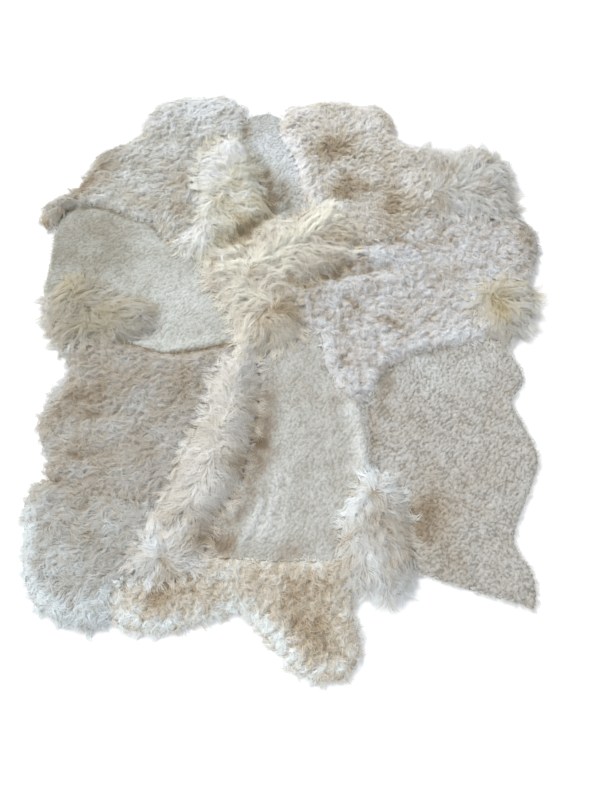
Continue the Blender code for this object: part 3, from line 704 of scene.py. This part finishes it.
def cut_grid(loop, spacing):
    """A square grid cut to an outline: cells whose middle is inside it, with the points at the
    edge moved onto it. Gives the points, the cells' corners, and the edge's sides in order."""
    low, high = loop.min(axis=0) - spacing, loop.max(axis=0) + spacing
    x, y = np.arange(low[0], high[0], spacing), np.arange(low[1], high[1], spacing)
    across, up = np.meshgrid(x, y)
    points = np.stack((across.ravel(), up.ravel()), axis=1)
    number = np.arange(len(points)).reshape(across.shape)
    cells = np.stack((number[:-1, :-1], number[:-1, 1:], number[1:, 1:], number[1:, :-1]), -1)
    cells = cells.reshape(-1, 4)
    cells = cells[is_inside(points[cells].mean(axis=1), loop)]
    uses = np.bincount(cells.ravel(), minlength=len(points))
    edge = (uses > 0) & (uses < 4)
    points[edge], _ = nearest_on(points[edge], loop, np.roll(loop, -1, axis=0))
    kept = np.flatnonzero(uses)
    renumber = np.zeros(len(points), int)
    renumber[kept] = np.arange(len(kept))
    cells = renumber[cells]
    sides = np.concatenate([cells[:, [k, (k + 1) % 4]] for k in range(4)])
    key = sides[:, 0] * len(kept) + sides[:, 1]
    back = sides[:, 1] * len(kept) + sides[:, 0]
    return points[kept], cells, sides[~np.isin(key, back)]


def make_piece(name, points, faces, material, uv=None, wool=None):
    """A smooth mesh object from arrays of points and four-cornered faces, with a UV for each
    point, and the point attribute wool: how lit a point is painted, lower in painted shade, and
    how far it is darkened and warmed by stains and painted shade or paled by painted light."""
    mesh = bpy.data.meshes.new(name)
    mesh.vertices.add(len(points))
    mesh.vertices.foreach_set("co", points.astype(np.float32).ravel())
    mesh.loops.add(faces.size)
    mesh.loops.foreach_set("vertex_index", faces.astype(np.int32).ravel())
    mesh.polygons.add(len(faces))
    mesh.polygons.foreach_set("loop_start", np.arange(0, faces.size, 4, dtype=np.int32))
    mesh.polygons.foreach_set("use_smooth", np.ones(len(faces), bool))
    if uv is not None:
        layer = mesh.uv_layers.new(name="OFBake")
        layer.uv.foreach_set("vector", uv[faces.ravel()].astype(np.float32).ravel())
    if wool is not None:
        attribute = mesh.color_attributes.new(name="wool", type="FLOAT_COLOR", domain="POINT")
        colour = np.column_stack((wool, np.zeros(len(wool)), np.ones(len(wool))))
        attribute.data.foreach_set("color", colour.astype(np.float32).ravel())
    mesh.update(calc_edges=True)
    mesh.validate()
    mesh.materials.append(material)
    made = bpy.data.objects.new(name, mesh)
    bpy.context.scene.collection.objects.link(made)
    return made


def plan_uv(points):
    """The plan of the piece, stretched to fill the square from 0 to 1."""
    low, high = points[:, :2].min(axis=0), points[:, :2].max(axis=0)
    return 0.01 + 0.98 * (points[:, :2] - low) / (high - low)


def walls(sides, count):
    """Faces from the edge's sides to the same sides of the layer below, count places on."""
    return np.stack((sides[:, 1], sides[:, 0], sides[:, 0] + count, sides[:, 1] + count), axis=1)


def make_hide(name, loop, low_map, material):
    """The tanned hide: the cut grid laid on the floor or its fold, again one thickness higher,
    and a wall round the edge."""
    flat, cells, sides = cut_grid(loop, HIDE_GRID)
    base = HIDE_LIFT + read_map(low_map, flat)
    lower = np.column_stack((flat, base))
    upper = np.column_stack((flat, base + HIDE_THICKNESS))
    count = len(flat)
    points = np.vstack((upper, lower))
    faces = np.vstack((cells, cells[:, ::-1] + count, walls(sides, count)))
    return make_piece("hide_" + name, points, faces, material, plan_uv(points)), flat, cells


def make_surface(name, loop, spacing, height, shade, material):
    """A surface of wool: the cut grid at the given heights, with a wall down to the hide at its
    edge. Height and shade are functions of the points."""
    flat, cells, sides = cut_grid(loop, spacing)
    top, low = height(flat)
    points = np.vstack((np.column_stack((flat, top)), np.column_stack((flat, low))))
    faces = np.vstack((cells, walls(sides, len(flat))))
    used = np.unique(faces)
    renumber = np.zeros(len(points), int)
    renumber[used] = np.arange(len(used))
    wool = shade(flat)
    # The wall down to the hide gets half the light value: painted shade on the sides of the wool.
    wool = np.vstack((wool, wool * (0.5, 1)))[used]
    points = points[used]
    return make_piece(name, points, renumber[faces], material, plan_uv(points), wool)


def scatter(loop, spacing, rng):
    """Points in rows inside an outline, every other row shifted by half, each moved at random."""
    low, high = loop.min(axis=0), loop.max(axis=0)
    across, up = np.meshgrid(
        np.arange(low[0], high[0], spacing), np.arange(low[1], high[1], 0.866 * spacing))
    across = across + 0.5 * spacing * (np.arange(len(across)) % 2)[:, None]
    points = np.stack((across.ravel(), up.ravel()), axis=1)
    points += spacing * rng.uniform(-0.35, 0.35, points.shape)
    return points[is_inside(points, loop)]


def wavy_path(root, heading, length, bend, swing, waves, phase, count):
    """Paths on the plan: from each root, equal steps whose direction is the heading, turned by
    the bend in proportion to the way gone and by a swing that comes and goes as a sine."""
    t = (np.arange(count - 1) + 0.5) / (count - 1)
    turn = heading[:, None] + bend[:, None] * t
    turn = turn + swing[:, None] * np.sin(2 * math.pi * waves[:, None] * t + phase[:, None])
    step = (length / (count - 1))[:, None, None] * np.stack((np.cos(turn), np.sin(turn)), axis=2)
    return root[:, None] + np.concatenate((np.zeros((len(root), 1, 2)), step.cumsum(axis=1)), 1)


def edge_roots(loop, spacing, rng):
    """Roots a little inside an outline, one to each spacing along it."""
    ahead = np.roll(loop, -1, axis=0) - loop
    along = np.append(0, np.cumsum(np.linalg.norm(ahead, axis=1)))
    at = np.arange(0, along[-1], spacing) + spacing * rng.uniform(0, 1)
    side = np.clip(np.searchsorted(along, at) - 1, 0, len(loop) - 1)
    share = (at - along[side]) / np.maximum(along[side + 1] - along[side], 1e-9)
    inward = np.stack((-ahead[side, 1], ahead[side, 0]), axis=1)
    inward /= np.linalg.norm(inward, axis=1, keepdims=True)
    inset = rng.uniform(0.001, 0.007, len(at))
    return loop[side] + share[:, None] * ahead[side] + inset[:, None] * inward


def comb_clumps(skin, roots, loop, on_rim, rng):
    """Which way each clump heads, as an arrow: the wool's lie, strayed from a little, plus a
    pull to the nearest place on the rim and one to the nearest on the seams, which grow towards
    them. Gives the arrows, how near each clump is to either, and how far from each."""
    how = GROWTH[skin.kind]
    ends = np.roll(loop, -1, axis=0)
    heading = lie_of(skin, roots) + how.stray * rng.normal(size=len(roots)) * 0.6
    flow = np.stack((np.cos(heading), np.sin(heading)), axis=1)
    near, gaps = np.zeros(len(roots)), []
    for sides, reach, pull in ((on_rim, RIM_COMB, RIM_PULL), (~on_rim, SEAM_COMB, how.over)):
        spot, gap = nearest_on(roots, loop[sides], ends[sides])
        share = np.clip(1 - gap / reach, 0, 1)
        away = (spot - roots) / (gap[:, None] + 1e-6)
        flow = flow + pull * share[:, None] * np.where(np.isfinite(gap)[:, None], away, 0)
        near = np.maximum(near, share)
        gaps.append(gap)
    return flow, near, gaps


def lock_heights(skin, path, loop, maps, waves, phase, rng):
    """Heights along the locks: from the root's share of the pile's depth, soon up to its top,
    with a lift and a wave that grow towards the tip. Past the outline a lock lies on the wool
    of the next piece. Gives also how high each point is on its clump, where wool is deep."""
    how = GROWTH[skin.kind]
    over, low, *_ = maps
    t = np.linspace(0, 1, how.points)
    floor = read_map(low, path)
    if skin.kind == "shorn":
        clump = None
        pile = read_map(over, path) - floor
    else:
        top, clump = pile_top(skin, path.reshape(-1, 2), over, low)
        clump = clump.reshape(floor.shape)
        pile = top.reshape(floor.shape) - floor
    layer = rng.uniform(0, 1, len(path))[:, None]
    share = how.root + (0.90 + 0.11 * layer - how.root) * np.clip(2.5 * t, 0, 1)
    share = share * (1 - 0.06 * t**3)
    spring = np.sin(2 * math.pi * 1.3 * waves[:, None] * t + phase[:, None] + 2)
    height = floor + pile * share + how.lift * t * (0.5 * spring + layer)
    height = np.maximum(height, floor + HIDE_CLEARANCE)
    past = ~is_inside(path.reshape(-1, 2), loop).reshape(floor.shape)
    across = read_map(over, path)
    past &= across > DEEP_WOOL
    return np.where(past, np.maximum(height, across + 0.001 + 0.001 * layer), height), clump


def grow_locks(skin, loop, on_rim, maps, rng):
    """Locks of wool in clumps: each lock's path starts near the clump's root and draws together
    with the clump's own path, rising from inside the pile to its top. Gives paths, how far each
    lock is darkened or paled by stains and painted light and shade, and how far it is in painted
    shade."""
    how = GROWTH[skin.kind]
    is_shorn = skin.kind == "shorn"
    roots = edge_roots(loop, how.spacing, rng) if is_shorn else scatter(loop, how.spacing, rng)
    clumps = len(roots)
    flow, near, (rim_gap, seam_gap) = comb_clumps(skin, roots, loop, on_rim, rng)
    heading = np.arctan2(flow[:, 1], flow[:, 0])
    length = how.length * (1 + how.varies * rng.uniform(-1, 1, clumps))
    if not is_shorn:
        length *= 1 - SEAM_SHORTER * np.clip(1 - seam_gap / SEAM_COMB, 0, 1)
    length *= 1 - (1 - RIM_LENGTH[skin.kind]) * np.clip(1 - rim_gap / RIM_COMB, 0, 1)
    bend = how.bend * rng.uniform(0.5, 1.3, clumps) * rng.choice((-1, 1), clumps)
    waves = how.waves * rng.uniform(0.8, 1.2, clumps)
    phase = rng.uniform(0, 2 * math.pi, clumps)
    flow /= np.linalg.norm(flow, axis=1, keepdims=True) + 1e-9
    roots = roots - START_BACK * (length * (1 - near))[:, None] * flow
    middle = wavy_path(
        roots, heading, length, bend, np.full(clumps, how.swing), waves, phase, how.points)

    own = np.repeat(np.arange(clumps), how.locks)
    count = len(own)
    offset = how.spacing * 0.62 * np.sqrt(rng.uniform(0, 1, count))
    angle = rng.uniform(0, 2 * math.pi, count)
    offset = offset[:, None] * np.stack((np.cos(angle), np.sin(angle)), axis=1)
    loose = 1 + 1.5 * (rng.uniform(0, 1, count) < 0.10)
    path = wavy_path(
        roots[own] + offset, heading[own] + how.stray * 0.45 * loose * rng.normal(size=count),
        length[own] * rng.uniform(0.75, 1.2, count), bend[own] * rng.uniform(0.7, 1.3, count),
        how.swing * loose, waves[own], phase[own] + 0.5 * rng.normal(size=count), how.points)
    draw = how.gather * np.sin(0.5 * math.pi * np.linspace(0, 1, how.points))[None, :, None]
    path = path * (1 - draw) + (middle[own] + 0.35 * offset[:, None]) * draw

    height, clump = lock_heights(skin, path, loop, maps, waves[own], phase[own], rng)
    half_way = how.points // 2
    middles = path[:, half_way]
    _, _, folds, shades = maps
    uneven = 0.09 if skin.kind == "long" else 0.06
    stain = stain_and_lighting_of(skin, middles, folds) + uneven * rng.normal(size=count)
    stain = stain + 0.05 * rng.normal(size=clumps)[own]
    # Painted light: locks near the rim are paler, as if the rim caught the light.
    stain -= 0.15 * np.exp(-((rim_gap[own] / RIM_PAINTED_LIGHT) ** 2))
    # Painted shade in the partings between clumps, painted light on the clumps' tops.
    if not is_shorn:
        stain = stain + CLUMPS[skin.kind].stain * (1 - skin.soft) * (0.6 - clump[:, half_way])
    path = np.concatenate((path, height[..., None]), axis=2)
    return path, stain, read_map(shades, middles) * (0.4 if is_shorn else 1)


def ribbons(path, width, roll):
    """Flat ribbons along paths: at each point the ribbon lies across the path, rolled about it,
    widest near the middle and narrow at the tip. Gives the points and the faces."""
    count, steps = path.shape[:2]
    along = np.gradient(path, axis=1)
    along /= np.linalg.norm(along, axis=2, keepdims=True) + 1e-12
    side = np.cross(along, (0, 0, 1.0))
    side /= np.linalg.norm(side, axis=2, keepdims=True) + 1e-12
    rise = np.cross(side, along)
    t = np.linspace(0, 1, steps)
    half = 0.5 * width[:, None] * np.minimum(0.7 + 1.2 * t, 1) * (1 - 0.86 * t**2.2)
    across = np.cos(roll)[..., None] * side + np.sin(roll)[..., None] * rise
    facing = FACE_LOOK * np.cross(across, along)
    normals = np.stack((facing - ROUND_LOOK * across, facing + ROUND_LOOK * across), axis=2)
    across = half[..., None] * across
    points = np.stack((path - across, path + across), axis=2).reshape(-1, 3)
    first = (np.arange(count)[:, None] * steps + np.arange(steps - 1)).ravel() * 2
    faces = np.stack((first, first + 1, first + 3, first + 2), axis=1)
    return points, faces, normals.reshape(-1, 3)


def make_locks(name, skin, path, stain, shade, maps, material, rng):
    """Ribbons along the locks' paths, shaded mostly by the pile's own slope. Their UV runs across
    by stains and painted light and shade, and upwards from the root to the tip, lower where they
    are in painted shade."""
    how = GROWTH[skin.kind]
    count, steps = path.shape[:2]
    width = how.width * rng.uniform(0.65, 1.25, count)
    roll = rng.uniform(-0.3, 0.3, count)[:, None] + 0.3 * rng.uniform(-1, 1, count)[:, None] * (
        np.linspace(-1, 1, steps))
    points, faces, normals = ribbons(path, width, roll)
    if skin.kind == "shorn":
        level = lambda plan: read_map(maps[0], plan)
    else:
        level = lambda plan: pile_top(skin, plan, *maps)[0]
    here = level(points[:, :2])
    slope = np.column_stack([
        (here - level(points[:, :2] + aside)) / SHADE_STEP
        for aside in ((SHADE_STEP, 0), (0, SHADE_STEP))])
    slope = np.column_stack((slope, np.ones(len(points))))
    slope /= np.linalg.norm(slope, axis=1, keepdims=True)
    normals = normals + PILE_LOOK * slope
    normals /= np.linalg.norm(normals, axis=1, keepdims=True)
    points[:, 2] = np.maximum(points[:, 2], FLOOR_CLEARANCE)
    stain = np.clip(stain, *LOCK_STAIN_AND_LIGHTING_ENDS)
    stain[:2] = LOCK_STAIN_AND_LIGHTING_ENDS
    u = np.repeat(stain, steps * 2) + np.tile((-0.02, 0.02), count * steps)
    v = ((1 - shade[:, None]) * np.linspace(0.25, 0.99, steps)).ravel().repeat(2)
    made = make_piece("locks_" + name, points, faces, material, np.stack((u, v), axis=1))
    made.data.normals_split_custom_set_from_vertices(normals.tolist())
    return made


# Materials

def linear(colour, paler=1):
    """A colour out of 255, as the light it reflects."""
    light = ((np.array(colour) / 255 + 0.055) / 1.055) ** 2.4
    return (*np.minimum(paler * light, 0.94), 1)


def wool_colours(skin, paler):
    """Stops of a ramp from a piece's pale wool over its usual and its darkest to a darker tan; the
    pale end also serves for painted light, the two dark stops for real stains and for painted
    shade.
    """
    brown_and_shade = [share * value for share, value in zip((0.86, 0.82, 0.76), skin.stained)]
    return ((0.10, linear(skin.pale, paler)), (0.50, linear(skin.usual, paler)),
            (0.84, linear(skin.stained, paler)), (1.0, linear(brown_and_shade, paler)))


def new_material(name, roughness, sheen):
    """A matt material with a soft sheen. Gives it, its nodes, its links and its shader."""
    made = bpy.data.materials.new(name)
    made.use_nodes = True
    shader = made.node_tree.nodes["Principled BSDF"]
    shader.inputs["Roughness"].default_value = roughness
    shader.inputs["Specular IOR Level"].default_value = 0.15
    shader.inputs["Sheen Weight"].default_value = sheen
    shader.inputs["Sheen Roughness"].default_value = 0.6
    return made, made.node_tree.nodes, made.node_tree.links, shader


def ramp(nodes, links, source, stops):
    """A colour ramp fed by a socket, from places and colours."""
    node = nodes.new("ShaderNodeValToRGB")
    while len(node.color_ramp.elements) < len(stops):
        node.color_ramp.elements.new(0.5)
    for element, (position, colour) in zip(node.color_ramp.elements, stops):
        element.position = position
        element.color = colour
    links.new(source, node.inputs["Fac"])
    return node.outputs["Color"]


def times(nodes, links, one, other):
    """The product of two colours."""
    node = nodes.new("ShaderNodeMix")
    node.data_type, node.blend_type = "RGBA", "MULTIPLY"
    node.inputs["Factor"].default_value = 1
    links.new(one, node.inputs["A"])
    links.new(other, node.inputs["B"])
    return node.outputs["Result"]


def grey(value):
    """An even grey of that value."""
    return (value, value, value, 1)


def lock_material(name, skin):
    """Wool of the locks: colour by stains and painted light and shade across the UV, darker and
    warmer towards the root, partly the wool's own colour and partly painted shade deep in the
    pile, and streaks along each lock."""
    made, nodes, links, shader = new_material(name + "_lock_wool", 0.85, 0.25)
    uv = nodes.new("ShaderNodeUVMap")
    uv.uv_map = "OFBake"
    split = nodes.new("ShaderNodeSeparateXYZ")
    links.new(uv.outputs["UV"], split.inputs[0])
    colour = ramp(nodes, links, split.outputs["X"], wool_colours(skin, LOCK_PALER))
    # Darker and warmer towards the root: partly the wool's own colour, partly painted shade deep
    # in the pile; the UV lowers it further where the wool is in painted shade.
    root = ramp(nodes, links, split.outputs["Y"], (
        (0.0, (0.50, 0.48, 0.45, 1)), (0.25, (0.78, 0.74, 0.68, 1)),
        (0.50, (0.93, 0.92, 0.90, 1)), (0.80, grey(1))))
    scale = nodes.new("ShaderNodeMapping")
    scale.inputs["Scale"].default_value = (260, 5, 1)
    links.new(uv.outputs["UV"], scale.inputs["Vector"])
    streak = nodes.new("ShaderNodeTexNoise")
    streak.inputs["Scale"].default_value = 1
    links.new(scale.outputs["Vector"], streak.inputs["Vector"])
    streaks = ramp(nodes, links, streak.outputs["Fac"], ((0.3, grey(0.93)), (0.7, grey(1))))
    links.new(times(nodes, links, times(nodes, links, colour, root), streaks),
              shader.inputs["Base Color"])
    return made


def surface_material(name, skin, paler, tones, bump, grain):
    """Wool of a surface: colour by stains and painted light and shade, darker between the curls
    and clumps by painted shade, with a fine bump of crimped fibres."""
    made, nodes, links, shader = new_material(name, 0.9, 0.25)
    wool = nodes.new("ShaderNodeAttribute")
    wool.attribute_name = "wool"
    split = nodes.new("ShaderNodeSeparateColor")
    links.new(wool.outputs["Color"], split.inputs[0])
    colour = ramp(nodes, links, split.outputs["Green"], wool_colours(skin, paler))
    # Painted shade between the curls of shorn wool and the clumps of underwool, and where the
    # folds shade the wool.
    shade = ramp(nodes, links, split.outputs["Red"], tones)
    where = nodes.new("ShaderNodeTexCoord")
    noise = nodes.new("ShaderNodeTexNoise")
    noise.inputs["Scale"].default_value = grain
    noise.inputs["Detail"].default_value = 3
    noise.inputs["Distortion"].default_value = 1.2
    links.new(where.outputs["Object"], noise.inputs["Vector"])
    fibres = ramp(nodes, links, noise.outputs["Fac"], ((0.34, grey(0.80)), (0.62, grey(1))))
    links.new(times(nodes, links, times(nodes, links, colour, shade), fibres),
              shader.inputs["Base Color"])
    relief = nodes.new("ShaderNodeBump")
    relief.inputs["Strength"].default_value = bump
    relief.inputs["Distance"].default_value = 0.003
    links.new(noise.outputs["Fac"], relief.inputs["Height"])
    links.new(relief.outputs["Normal"], shader.inputs["Normal"])
    return made


def hide_material():
    """Suede side of the tanned hide: pale cream with a soft mottle and a fine nap."""
    made, nodes, links, shader = new_material("tanned_hide", 0.95, 0.1)
    where = nodes.new("ShaderNodeTexCoord")
    mottle = nodes.new("ShaderNodeTexNoise")
    mottle.inputs["Scale"].default_value = 14
    mottle.inputs["Detail"].default_value = 5
    links.new(where.outputs["Object"], mottle.inputs["Vector"])
    links.new(ramp(nodes, links, mottle.outputs["Fac"], (
        (0.3, linear((206, 190, 160))), (0.7, linear((228, 216, 192))))),
        shader.inputs["Base Color"])
    nap = nodes.new("ShaderNodeTexNoise")
    nap.inputs["Scale"].default_value = 900
    links.new(where.outputs["Object"], nap.inputs["Vector"])
    relief = nodes.new("ShaderNodeBump")
    relief.inputs["Strength"].default_value = 0.3
    relief.inputs["Distance"].default_value = 0.0006
    links.new(nap.outputs["Fac"], relief.inputs["Height"])
    links.new(relief.outputs["Normal"], shader.inputs["Normal"])
    return made


# Making the rug

def pattern_shift():
    """From the pattern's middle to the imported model's, found on the piece that has no locks."""
    loop, _ = outline(SKINS["shorn_right"])
    low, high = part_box("shorn_right")
    packed_middle = np.array((low.x + high.x, low.y + high.y)) / 2
    return packed_middle - 0.5 * (loop.min(axis=0) + loop.max(axis=0))


def shorn_surface(skin, top_map, low_map, folds, shades, loop, on_rim):
    """Shorn wool as two functions of the points. Height: the solid's top, rounded off as a sine at
    the rim, with curls on it. Shade: how high on a curl a point is, lowered in painted shade,
    which the material paints darker between the curls, and how far it is darkened by stains and
    painted shade or paled by painted light."""
    ends = np.roll(loop, -1, axis=0)

    def curls(points):
        """Curls drawn out along the lie, with finer ones on them, all a little bent."""
        lie = lie_of(skin, points)
        bent = points + 0.004 * np.stack(
            (wander(points, 0.011, 21), wander(points, 0.011, 22)), axis=1)
        broad = tight_curls(bent, CURL_SIZE, lie, CURL_STRETCH, 31, 0.34)
        fine = tight_curls(bent, 0.52 * CURL_SIZE, lie, 1, 32, 0.34)
        slow = wander(bent, 0.022, 33)
        return np.clip(0.48 * broad + 0.42 * fine + 0.16 * slow + 0.03, 0, 1)

    def height(points):
        _, gap = nearest_on(points, loop, ends)
        _, rim = nearest_on(points, loop[on_rim], ends[on_rim])
        low = read_map(low_map, points)
        top = read_map(top_map, points)
        drop = np.clip(rim / SHORN_RIM, 0, 1)
        top = low + (top - low) * (0.45 + 0.55 * np.sin(0.5 * math.pi * drop))
        relief = CURL_HEIGHT * (curls(points) - 0.45) * np.clip(0.35 + gap / SHORN_RIM, 0, 1)
        relief = relief * (1 - skin.soft)
        return np.maximum(top + relief, low + 0.003), low + HIDE_THICKNESS

    def shade(points):
        light = 0.45 + (curls(points) - 0.45) * (1 - skin.soft)
        light = light * (1 - read_map(shades, points))
        return np.column_stack((light, np.clip(stain_and_lighting_of(skin, points, folds), 0, 1)))

    return height, shade


def underwool_surface(skin, over, low, folds, shades):
    """Underwool as two functions of the points. Height: a share of the pile's depth, with small
    lumps. Shade: how high on its clump a point is, lowered in painted shade, and how far it is
    darkened or paled by stains and painted light and shade, with painted shade in the partings and
    painted light on the clumps' tops."""
    def height(points):
        top, _ = pile_top(skin, points, over, low)
        floor = read_map(low, points)
        lumps = 1 + 0.06 * wander(points, 0.018, 41)
        return floor + UNDER_SHARE * lumps * (top - floor), floor + HIDE_THICKNESS

    def shade(points):
        _, clump = pile_top(skin, points, over, low)
        stain = stain_and_lighting_of(skin, points, folds)
        # Painted shade in the partings, painted light on the clumps' tops.
        stain += CLUMPS[skin.kind].stain * (1 - skin.soft) * (0.6 - clump)
        light = clump * (1 - read_map(shades, points))
        return np.column_stack((light, np.clip(stain, 0, 1)))

    return height, shade


def moved_by(shift, rows):
    """Rows that start with a place in the pattern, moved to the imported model's place."""
    return [(x + shift[0] / MM, y + shift[1] / MM, *rest) for x, y, *rest in rows]


def make_wool(name, skin, loop, on_rim, top, low, rug_maps, rng):
    """The wool of a piece: its surface, shorn or underwool, and its locks."""
    over, low_all, rise, folds, shades = rug_maps
    if skin.kind == "shorn":
        top = top + rise
        height, shade = shorn_surface(skin, top, low, folds, shades, loop, on_rim)
        # Painted shade: darker and warmer between the curls.
        tones = (0.0, (0.48, 0.45, 0.40, 1)), (0.5, (0.80, 0.79, 0.77, 1)), (1.0, grey(1))
        made = surface_material(name + "_wool", skin, SHORN_PALER, tones, 0.8, FIBRE_GRAIN)
        surface = make_surface("wool_" + name, loop, SHORN_GRID, height, shade, made)
        maps = top, low, folds, shades
    else:
        height, shade = underwool_surface(skin, over, low, folds, shades)
        # Painted shade: darker and warmer in the partings between clumps.
        tones = (0.0, (0.70, 0.63, 0.54, 1)), (0.6, (0.94, 0.92, 0.89, 1)), (1.0, grey(1))
        made = surface_material(
            name + "_underwool", skin, UNDER_PALER, tones, 0.5, FIBRE_GRAIN)
        surface = make_surface("underwool_" + name, loop, UNDER_GRID, height, shade, made)
        maps = over, low_all, folds, shades
    path, stain, dark = grow_locks(skin, loop, on_rim, maps, rng)
    locks = make_locks(name, skin, path, stain, dark, maps, lock_material(name, skin), rng)
    return [surface, locks]


def make_rug(shift):
    """Every piece of the rug: its hide as a thin sheet, with its wool on it."""
    tops, lows = {}, {}
    for name in SKINS:
        tops[name], lows[name] = cast_node(name)
    rise, folds, shades = map_folds(shift)
    over = blur(spread(np.fmax.reduce(list(tops.values())), 1), 1.5) + rise
    low_all = blur(spread(np.fmin.reduce(list(lows.values())), 10), 1.0)
    hide = hide_material()
    for number, (name, skin) in enumerate(SKINS.items()):
        rng = np.random.default_rng(100 + number)
        loop, on_rim = outline(skin)
        loop = loop + shift
        top, low = spread(tops[name], 6), spread(lows[name], 6)
        hide_piece, flat, cells = make_hide(name, loop, low, hide)
        moved = skin._replace(
            lies=moved_by(shift, skin.lies), whorls=moved_by(shift, skin.whorls),
            marks=moved_by(shift, skin.marks))
        wool = make_wool(
            name, moved, loop, on_rim, top, low, (over, low_all, rise, folds, shades), rng)
        for piece in (hide_piece, *wool):
            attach(piece, "root")
        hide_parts(name)


def make_stage():
    """A plain pale floor just under the rug."""
    mesh = bpy.data.meshes.new("floor")
    mesh.from_pydata(
        [(x, y, FLOOR_LEVEL) for x, y in ((-9, -9), (9, -9), (9, 9), (-9, 9))], [],
        [(0, 1, 2, 3)])
    made, _, _, shader = new_material("pale_floor", 0.9, 0)
    shader.inputs["Base Color"].default_value = (0.90, 0.90, 0.90, 1)
    mesh.materials.append(made)
    floor = bpy.data.objects.new("floor", mesh)
    bpy.context.scene.collection.objects.link(floor)


def make_light():
    """Soft daylight from the upper left, and an even white surround."""
    sun = bpy.data.lights.new("window", "SUN")
    sun.energy = 2.3
    sun.angle = math.radians(34)
    sun.color = (1.0, 0.985, 0.96)
    made = bpy.data.objects.new("window", sun)
    made.rotation_euler = Vector((0.62, -0.50, -0.72)).to_track_quat("-Z", "Y").to_euler()
    bpy.context.scene.collection.objects.link(made)
    world = bpy.data.worlds.new("surround")
    world.use_nodes = True
    back = world.node_tree.nodes["Background"]
    back.inputs["Color"].default_value = (0.93, 0.96, 1.0, 1)
    back.inputs["Strength"].default_value = 0.86
    bpy.context.scene.world = world


def make_camera(shift):
    """The photo's view: from over the foot, 70 degrees below level."""
    data = bpy.data.cameras.new("camera")
    data.lens = 27.034
    data.sensor_width = 36
    made = bpy.data.objects.new("camera", data)
    made.location = (0.0411 + shift[0], -0.8464 + shift[1], 1.7438)
    made.rotation_euler = (math.radians(20), 0, 0)
    bpy.context.scene.collection.objects.link(made)
    bpy.context.scene.camera = made


shift = pattern_shift()
make_rug(shift)
make_stage()
make_light()
make_camera(shift)
bpy.context.scene.view_settings.view_transform = "Standard"
